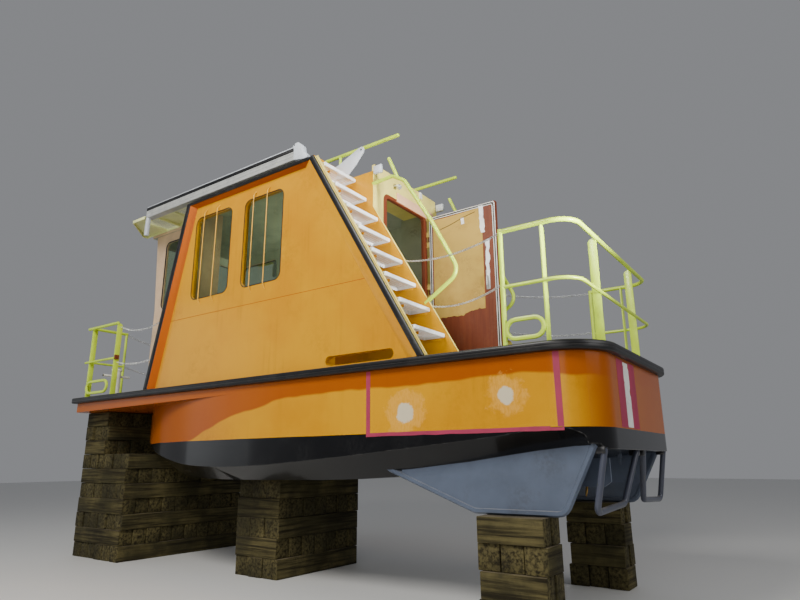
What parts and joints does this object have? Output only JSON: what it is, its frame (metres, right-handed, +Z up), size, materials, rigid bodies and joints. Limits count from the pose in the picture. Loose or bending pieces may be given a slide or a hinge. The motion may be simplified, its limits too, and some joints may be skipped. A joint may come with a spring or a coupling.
{
  "type": "escape boat",
  "caption": "Steel escape boat with an orange deckhouse, stairs to its roof deck, lime guard rails, skegs and rudders, standing on timber cribs.",
  "frame": {"origin": "centre of the bounding box on the floor that the timber cribs stand on", "axes": "+X forward to the bow, +Y to port, +Z up"},
  "size_m": [7.63, 2.5, 4.8682],
  "materials": {
    "orange_paint": "gloss",
    "black_rubber": "satin",
    "blue_grey_paint": "satin",
    "black_paint": "gloss",
    "bronze": "satin",
    "window_glass": "gloss",
    "beige_paint": "matte",
    "lime_paint": "gloss",
    "tread_metal": "matte",
    "aluminium": "satin",
    "door_primer": "matte",
    "white_paint": "satin",
    "chain_steel": "satin",
    "timber": "rough"
  },
  "bodies": {
    "boat": {"hull": "orange_paint", "rub_rail": "black_rubber", "stern_rail": "lime_paint", "aft_wall": "orange_paint", "front_wall": "beige_paint", "roof_deck": "orange_paint", "lever_plate": "aluminium", "crib_bow": "timber", "crib_mid": "timber", "crib_aft_port": "timber", "crib_aft_starboard": "timber", "skeg_port": "blue_grey_paint", "skeg_starboard": "blue_grey_paint", "guard_hoop_port": "blue_grey_paint", "guard_hoop_starboard": "blue_grey_paint", "shaft_bracket_port": "black_paint", "shaft_bracket_starboard": "black_paint", "side_wall_port": "orange_paint", "side_wall_starboard": "orange_paint", "side_window_fore_port": "window_glass", "side_window_fore_starboard": "window_glass", "side_window_aft_port": "window_glass", "side_window_aft_starboard": "window_glass", "front_side_port": "beige_paint", "front_side_starboard": "beige_paint", "front_side_window_port": "window_glass", "front_side_window_starboard": "window_glass", "front_window_port": "window_glass", "front_window_starboard": "window_glass", "stair_wall_port": "orange_paint", "stair_wall_starboard": "orange_paint", "stair_treads_port": "tread_metal", "stair_treads_starboard": "tread_metal", "handrail_port": "lime_paint", "handrail_starboard": "lime_paint", "roof_fender_port": "aluminium", "roof_fender_starboard": "aluminium", "walkway_port": "lime_paint", "walkway_starboard": "lime_paint", "roof_rail_port": "lime_paint", "roof_rail_starboard": "lime_paint", "bow_rail_port": "lime_paint", "bow_rail_starboard": "lime_paint", "bollard_port": "white_paint", "bollard_starboard": "white_paint", "chain_aft_upper_port": "chain_steel", "chain_aft_upper_starboard": "chain_steel", "chain_aft_lower_port": "chain_steel", "chain_aft_lower_starboard": "chain_steel", "chain_bow_upper_port": "chain_steel", "chain_bow_upper_starboard": "chain_steel", "chain_bow_lower_port": "chain_steel", "chain_bow_lower_starboard": "chain_steel", "chain_centre_upper": "chain_steel", "chain_centre_lower": "chain_steel"},
    "aft_door": {"aft_door": "door_primer"},
    "propeller_port": {"propeller_port": "bronze"},
    "propeller_starboard": {"propeller_starboard": "bronze"},
    "rudder_port": {"rudder_port": "blue_grey_paint"},
    "rudder_starboard": {"rudder_starboard": "blue_grey_paint"}
  },
  "joints": [
    {"name": "aft_door_swing", "type": "hinge", "parent": "boat", "child": "aft_door", "pos_m": [-1.285, -0.44, 3.25], "axis": [0, 0, 1], "range_deg": [-90, 0]},
    {"name": "propeller_port_spin", "type": "hinge", "parent": "boat", "child": "propeller_port", "pos_m": [-3.035, 0.55, 1.055], "axis": [0.9848, 0, 0.1736], "continuous": true},
    {"name": "propeller_starboard_spin", "type": "hinge", "parent": "boat", "child": "propeller_starboard", "pos_m": [-3.035, -0.55, 1.055], "axis": [0.9848, 0, 0.1736], "continuous": true},
    {"name": "rudder_port_turn", "type": "hinge", "parent": "boat", "child": "rudder_port", "pos_m": [-3.375, 0.55, 1.15], "axis": [0, 0, 1], "range_deg": [-35, 35]},
    {"name": "rudder_starboard_turn", "type": "hinge", "parent": "boat", "child": "rudder_starboard", "pos_m": [-3.375, -0.55, 1.15], "axis": [0, 0, 1], "range_deg": [-35, 35]}
  ],
  "couplings": [
    {"joint": "rudder_starboard_turn", "follows": "rudder_port_turn", "ratio": 1}
  ]
}
